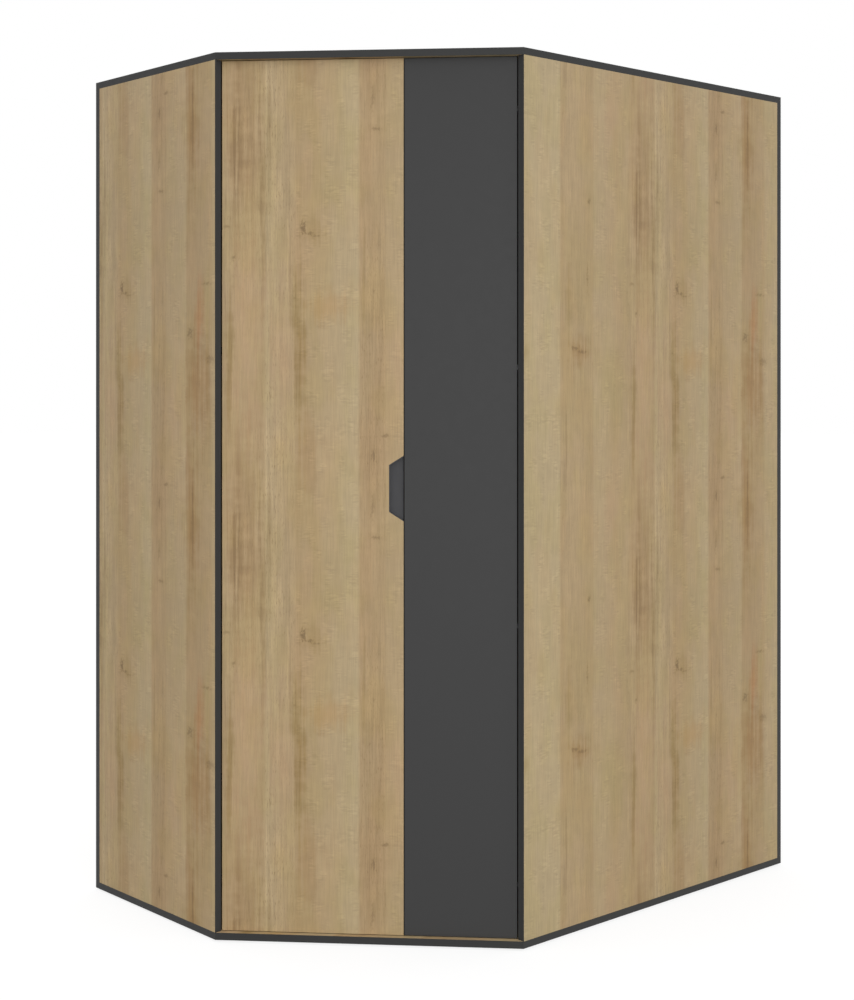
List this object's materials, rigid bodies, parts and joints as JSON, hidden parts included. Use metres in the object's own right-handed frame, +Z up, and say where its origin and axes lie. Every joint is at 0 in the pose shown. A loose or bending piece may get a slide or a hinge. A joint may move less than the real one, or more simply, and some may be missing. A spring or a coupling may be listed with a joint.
{
  "type": "corner wardrobe",
  "caption": "Corner wardrobe with a slanted front: a wide oak door and a narrow graphite door over shelves, hat shelf and hanging rail.",
  "frame": {"origin": "on the floor, under the middle of the outline seen from above", "axes": "+Z up; -X is the long wall's side and +Y the short wall's side, so the slanted door front faces +X and -Y"},
  "size_m": [0.96, 1.445, 1.96],
  "materials": {
    "oak_decor": "oak-print melamine on chipboard, fine vertical grain",
    "graphite_decor": "plain graphite melamine on chipboard, matt",
    "graphite_edging": "graphite edging strip",
    "oak_edging": "oak-print edging strip",
    "pull_plastic": "fine-textured graphite moulding",
    "hinge_nickel": "black-nickel-plated pressed steel",
    "pin_steel": "bright steel",
    "screw_zinc": "zinc-plated",
    "cam_zinc": "die-cast zinc",
    "dowel_beech": "fluted beech",
    "rail_chrome": "chromed steel tube",
    "bracket_steel": "galvanised sheet",
    "glide_plastic": "black moulding",
    "stop_plastic": "graphite moulding",
    "bumper_rubber": "soft clear-grey pad"
  },
  "bodies": {
    "carcass": {"bottom_board": "oak_decor", "top_board": "oak_decor", "left_end_panel": "oak_decor", "right_side_panel": "oak_decor", "long_back_panel": "oak_decor", "short_back_panel": "oak_decor", "partition": "oak_decor", "hat_shelf": "oak_decor", "shelf_1": "oak_decor", "shelf_2": "oak_decor", "shelf_3": "oak_decor", "shelf_4": "oak_decor", "shelf_5": "oak_decor", "bottom_board_edging": "graphite_edging", "top_board_edging": "graphite_edging", "left_end_edging": "graphite_edging", "right_side_edging": "graphite_edging", "back_edging": "graphite_edging", "partition_edging": "graphite_edging", "hat_shelf_edging": "graphite_edging", "shelf_edging": "graphite_edging", "oak_hinge_arm_1": "hinge_nickel", "oak_hinge_arm_2": "hinge_nickel", "oak_hinge_arm_3": "hinge_nickel", "oak_hinge_arm_4": "hinge_nickel", "graphite_hinge_arm_1": "hinge_nickel", "graphite_hinge_arm_2": "hinge_nickel", "graphite_hinge_arm_3": "hinge_nickel", "graphite_hinge_arm_4": "hinge_nickel", "hinge_plates": "hinge_nickel", "shelf_pins": "pin_steel", "fitting_screws": "screw_zinc", "hinge_arm_screws": "screw_zinc", "back_screws": "screw_zinc", "cam_bolts": "screw_zinc", "cam_locks": "cam_zinc", "wood_dowels": "dowel_beech", "hanging_rail": "rail_chrome", "rail_sockets": "rail_chrome", "wall_brackets": "bracket_steel", "glides": "glide_plastic", "door_stops": "stop_plastic", "door_bumpers": "bumper_rubber"},
    "oak_door_leaf": {"oak_door": "oak_decor", "oak_door_edging": "oak_edging", "oak_hinge_pins": "pin_steel", "oak_hinge_cup_screws": "screw_zinc", "oak_hinge_cup_1": "hinge_nickel", "oak_hinge_cup_2": "hinge_nickel", "oak_hinge_cup_3": "hinge_nickel", "oak_hinge_cup_4": "hinge_nickel", "finger_pull": "pull_plastic"},
    "graphite_door_leaf": {"graphite_door": "graphite_decor", "graphite_door_edging": "graphite_edging", "graphite_hinge_pins": "pin_steel", "graphite_hinge_cup_screws": "screw_zinc", "graphite_hinge_cup_1": "hinge_nickel", "graphite_hinge_cup_2": "hinge_nickel", "graphite_hinge_cup_3": "hinge_nickel", "graphite_hinge_cup_4": "hinge_nickel"}
  },
  "joints": [
    {"name": "oak_door_hinge", "type": "hinge", "parent": "carcass", "child": "oak_door_leaf", "pos_m": [0.00393, -0.68904, 0.982], "axis": [0, 0, -1], "range_deg": [0, 95]},
    {"name": "graphite_door_hinge", "type": "hinge", "parent": "carcass", "child": "graphite_door_leaf", "pos_m": [0.44654, -0.24643, 0.982], "axis": [0, 0, 1], "range_deg": [0, 95]}
  ]
}
